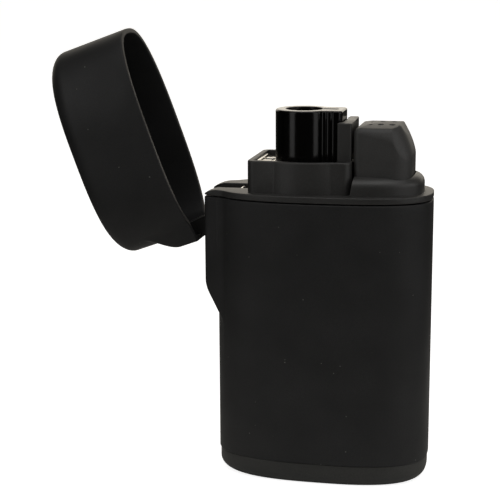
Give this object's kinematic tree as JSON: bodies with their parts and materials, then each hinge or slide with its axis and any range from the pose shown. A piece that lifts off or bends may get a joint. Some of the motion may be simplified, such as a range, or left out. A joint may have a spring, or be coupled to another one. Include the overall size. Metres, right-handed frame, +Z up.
{
  "type": "jet lighter",
  "caption": "Oval flip-lid jet lighter with a round burner chimney, a side thumb button over a piezo igniter and a refill port in its base.",
  "frame": {"origin": "centre of the flat base", "axes": "+Z up the body, +X across its width away from the lid hinge, +Y through its depth away from the front"},
  "size_m": [0.0624, 0.0184, 0.073],
  "materials": {
    "soft_touch": "soft-touch black coat on moulded plastic",
    "arm_plastic": "black moulded acetal",
    "base_plastic": "black moulded plastic, fine spark texture",
    "head_plastic": "black heat-resistant plastic, matt",
    "button_plastic": "black moulded plastic, matt",
    "adjuster_plastic": "dark grey moulded plastic",
    "piezo_plastic": "black moulded plastic",
    "tank_plastic": "milky moulded plastic",
    "gloss_black": "black, polished",
    "bright_steel": "bright stamped steel",
    "plated_steel": "plated steel",
    "spring_steel": "drawn spring wire",
    "screw_steel": "zinc-plated steel",
    "pin_steel": "ground steel pin",
    "lever_zinc": "cast zinc alloy, matt",
    "brass": "turned brass",
    "seal_rubber": "black nitrile rubber",
    "silicone": "clear silicone tube",
    "ceramic": "glazed ceramic",
    "wire_jacket": "insulated lead"
  },
  "bodies": {
    "case": {"outer_shell": "soft_touch", "base_cap": "base_plastic", "base_screws": "screw_steel", "fuel_tank": "tank_plastic", "tank_cover": "tank_plastic", "refill_valve_body": "brass", "refill_valve_spring": "spring_steel", "refill_seal": "seal_rubber", "outlet_valve_body": "brass", "outlet_valve_spring": "spring_steel", "outlet_seal": "seal_rubber", "gas_hose": "silicone", "lever_pin": "pin_steel", "head_frame": "head_plastic", "button_guard": "head_plastic", "heat_shield": "bright_steel", "chimney": "gloss_black", "burner_base": "lever_zinc", "gas_jet": "brass", "burner_tube": "plated_steel", "burner_nozzle": "brass", "electrode": "plated_steel", "electrode_insulator": "ceramic", "ignition_wire": "wire_jacket", "piezo_case": "piezo_plastic", "piezo_crystal": "ceramic", "piezo_return_spring": "spring_steel", "piezo_hammer_spring": "spring_steel", "hinge_pin": "pin_steel", "lid_spring": "bright_steel"},
    "lid": {"lid_shell": "soft_touch", "lid_hinge_arm": "arm_plastic"},
    "button": {"thumb_button": "button_plastic", "piezo_plunger": "piezo_plastic"},
    "lever": {"gas_lever": "lever_zinc"},
    "valve_stem": {"outlet_valve_stem": "brass"},
    "hammer": {"piezo_hammer": "lever_zinc"},
    "refill_stem": {"refill_valve_stem": "plated_steel"},
    "adjuster": {"flame_adjuster": "adjuster_plastic"}
  },
  "joints": [
    {"name": "lid_hinge", "type": "hinge", "parent": "case", "child": "lid", "pos_m": [-0.0165, 0, 0.0428], "axis": [0, 1, 0], "range_deg": [0, 110]},
    {"name": "button_press", "type": "slide", "parent": "case", "child": "button", "axis": [0, 0, -1], "range_m": [0, 0.003], "stiffness_N_per_m": 500, "deforming": ["piezo_return_spring", "piezo_hammer_spring"]},
    {"name": "gas_lever_rock", "type": "hinge", "parent": "case", "child": "lever", "pos_m": [0.0005, 0, 0.0396], "axis": [0, 1, 0], "range_deg": [0, 15]},
    {"name": "outlet_valve_lift", "type": "slide", "parent": "case", "child": "valve_stem", "axis": [0, 0, 1], "range_m": [0, 0.0011], "deforming": ["outlet_valve_spring", "gas_hose"]},
    {"name": "hammer_strike", "type": "slide", "parent": "case", "child": "hammer", "axis": [0, 0, -1], "range_m": [0, 0.0012]},
    {"name": "refill_valve_push", "type": "slide", "parent": "case", "child": "refill_stem", "axis": [0, 0, 1], "range_m": [0, 0.0012], "stiffness_N_per_m": 300, "deforming": ["refill_valve_spring"]},
    {"name": "flame_adjust", "type": "hinge", "parent": "case", "child": "adjuster", "pos_m": [-0.00347, 0, 0.0005], "axis": [0, 0, 1], "range_deg": [-120, 120]}
  ],
  "couplings": [
    {"joint": "gas_lever_rock", "follows": "button_press", "rad_per_m": 87.265},
    {"joint": "outlet_valve_lift", "follows": "button_press", "ratio": 0.3666},
    {"joint": "hammer_strike", "follows": "button_press", "ratio": 0.4}
  ]
}
